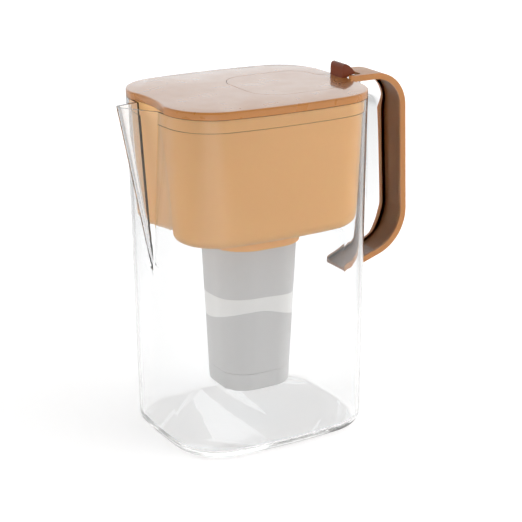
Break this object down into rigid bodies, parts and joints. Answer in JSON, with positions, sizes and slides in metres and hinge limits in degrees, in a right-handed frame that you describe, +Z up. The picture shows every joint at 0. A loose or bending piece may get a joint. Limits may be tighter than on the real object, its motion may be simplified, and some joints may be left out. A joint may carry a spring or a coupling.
{
  "type": "water filter pitcher",
  "caption": "Clear plastic water filter pitcher with a V-shaped spout, a lift-out hopper and filter cartridge, a lid with a flip door and thumb lever, and a banded handle.",
  "frame": {"origin": "centre of the clear jug's flat underside", "axes": "+Z up, +X towards the handle, -X towards the spout, Y across"},
  "size_m": [0.2411, 0.1348, 0.2752],
  "materials": {
    "clear_plastic": "clear, polished",
    "lid_plastic": "smooth, light sheen",
    "hopper_plastic": "smooth, slightly see-through",
    "grip_plastic": "smooth satin",
    "lever_plastic": "glossy brown",
    "filter_plastic": "smooth satin, pale grey",
    "seal_rubber": "soft, pale",
    "screen_cloth": "fine mesh",
    "filter_granules": "loose granules"
  },
  "bodies": {
    "pitcher": {"pitcher_body": "clear_plastic", "handle_arm": "clear_plastic", "handle_grip": "grip_plastic"},
    "hopper": {"reservoir": "hopper_plastic"},
    "lid": {"lid_cover": "lid_plastic"},
    "flip_door": {"fill_door": "lid_plastic", "thumb_lever": "lever_plastic", "hinge_pins": "lever_plastic"},
    "filter": {"filter_housing": "filter_plastic", "filter_base": "filter_plastic", "filter_cap": "filter_plastic", "filter_seal": "seal_rubber", "base_screen": "screen_cloth", "top_screen": "screen_cloth", "filter_media": "filter_granules"}
  },
  "joints": [
    {"name": "hopper_lift", "type": "slide", "parent": "pitcher", "child": "hopper", "axis": [0, 0, 1], "range_m": [0, 0.235]},
    {"name": "lid_lift", "type": "slide", "parent": "hopper", "child": "lid", "axis": [0, 0, 1], "range_m": [0, 0.06]},
    {"name": "door_flip", "type": "hinge", "parent": "lid", "child": "flip_door", "pos_m": [0.0793, 0, 0.2629], "axis": [0, 1, 0], "range_deg": [0, 60]},
    {"name": "filter_lift", "type": "slide", "parent": "hopper", "child": "filter", "axis": [0, 0, 1], "range_m": [0, 0.058]}
  ]
}
